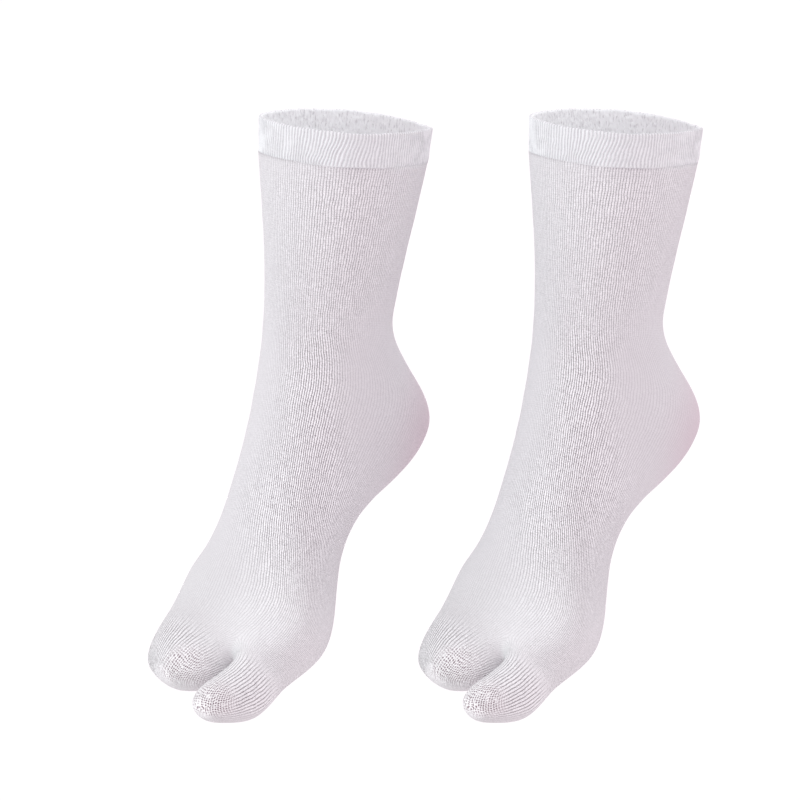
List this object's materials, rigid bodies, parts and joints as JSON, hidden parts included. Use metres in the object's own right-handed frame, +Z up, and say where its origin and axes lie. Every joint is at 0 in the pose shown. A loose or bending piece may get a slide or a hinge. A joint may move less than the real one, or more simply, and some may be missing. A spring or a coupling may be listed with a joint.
{
  "type": "pair of tabi socks",
  "caption": "White ribbed-cuff knitted socks with a split toe, hollow and filled out as worn on tiptoe feet, side by side",
  "frame": {"origin": "centre of the first sock's cuff mouth, where the wearer's leg holds it", "axes": "+Z up along the legs, +X from the first sock to the second, toes pointing down and out between -X and -Y"},
  "size_m": [0.3003, 0.1714, 0.314],
  "materials": {
    "ribbed_knit": "matt ribbed cotton knit, bleached white",
    "plain_knit": "matt plain cotton knit, bleached white"
  },
  "bodies": {
    "root": {"sock_a_welt": "ribbed_knit", "sock_a_leg_and_foot": "plain_knit", "sock_b_welt": "ribbed_knit", "sock_b_leg_and_foot": "plain_knit"}
  },
  "joints": []
}
